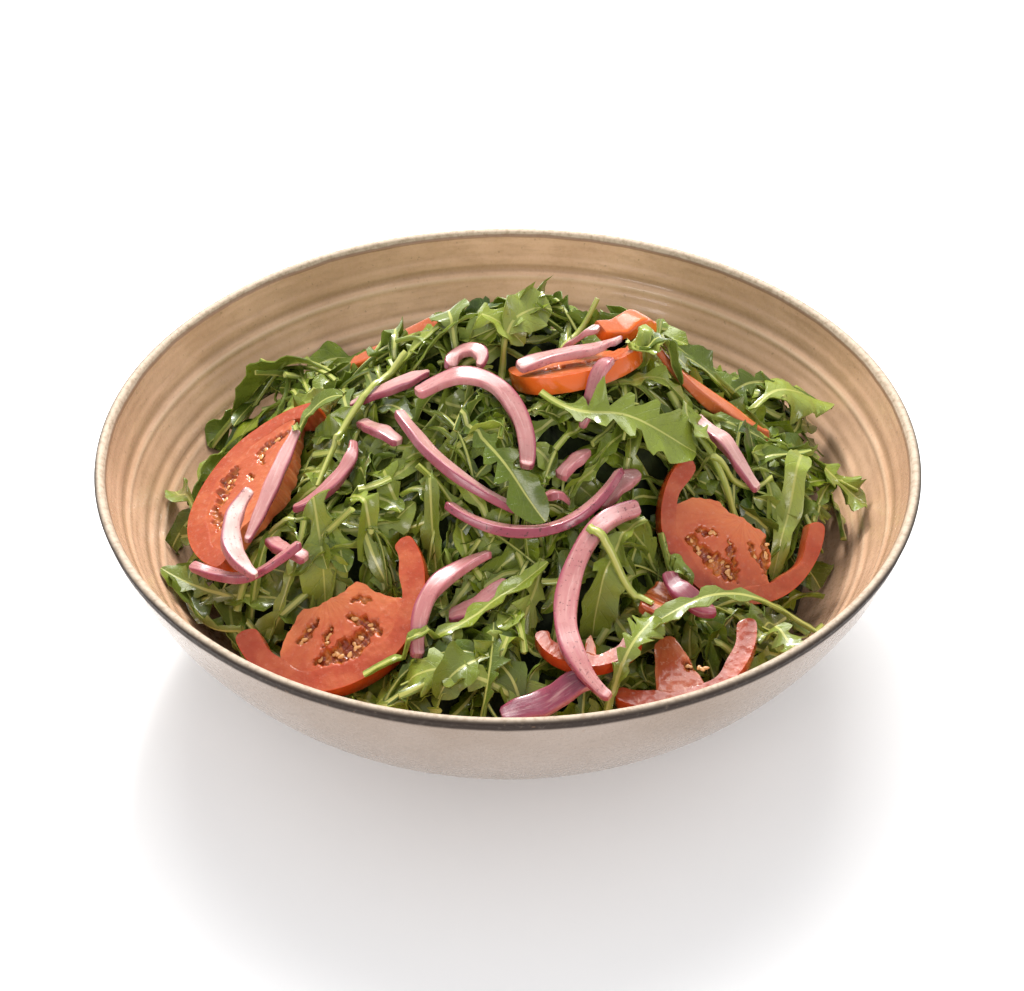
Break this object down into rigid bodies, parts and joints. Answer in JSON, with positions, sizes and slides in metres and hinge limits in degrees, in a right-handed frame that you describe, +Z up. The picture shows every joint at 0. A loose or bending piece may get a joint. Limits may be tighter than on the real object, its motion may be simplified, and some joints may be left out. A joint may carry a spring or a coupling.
{
  "type": "bowl of rocket salad",
  "caption": "Wide round stoneware bowl filled with a loose mound of rocket leaves, tomato slices and strips of red onion.",
  "frame": {"origin": "middle of the underside of the bowl's foot ring, on the surface that the bowl stands on", "axes": "+Z up, +X to the right and +Y away from the viewer, as seen from the side that the picture shows"},
  "size_m": [0.2594, 0.2594, 0.1228],
  "materials": {
    "glaze": "glossy reactive glaze, sandy beige with throwing rings and a dark worn line below the pale lip",
    "rocket": "thin green leaves with pale midribs, glossy with dressing",
    "tomato": "wet cut tomato flesh with a smooth red skin, seeds and gel",
    "onion": "translucent pink to purple onion, glossy with dressing"
  },
  "bodies": {
    "root": {"bowl": "glaze", "salad_heap": "rocket", "onion_arch": "onion", "onion_behind_core": "onion", "onion_broad_middle": "onion", "onion_broad_top": "onion", "onion_cluster_high": "onion", "onion_cluster_low": "onion", "onion_crescent": "onion", "onion_dark_middle": "onion", "onion_diagonal": "onion", "onion_front_arc": "onion", "onion_front_petal": "onion", "onion_hook": "onion", "onion_inner_left": "onion", "onion_left_stub": "onion", "onion_long_front": "onion", "onion_outer_left": "onion", "onion_pale_top": "onion", "onion_right_straight": "onion", "onion_short_middle": "onion", "onion_skin_petal": "onion", "onion_small_loop": "onion", "onion_thin_crescent": "onion", "onion_under_slice": "onion", "tomato_core_piece": "tomato", "tomato_slice_front_left": "tomato", "tomato_slice_front_right": "tomato", "tomato_slice_left": "tomato", "tomato_slice_low": "tomato", "tomato_slice_right": "tomato", "tomato_slice_top": "tomato", "tomato_strip_back_left": "tomato", "tomato_strip_back_right": "tomato", "tomato_strip_top": "tomato"}
  },
  "joints": []
}
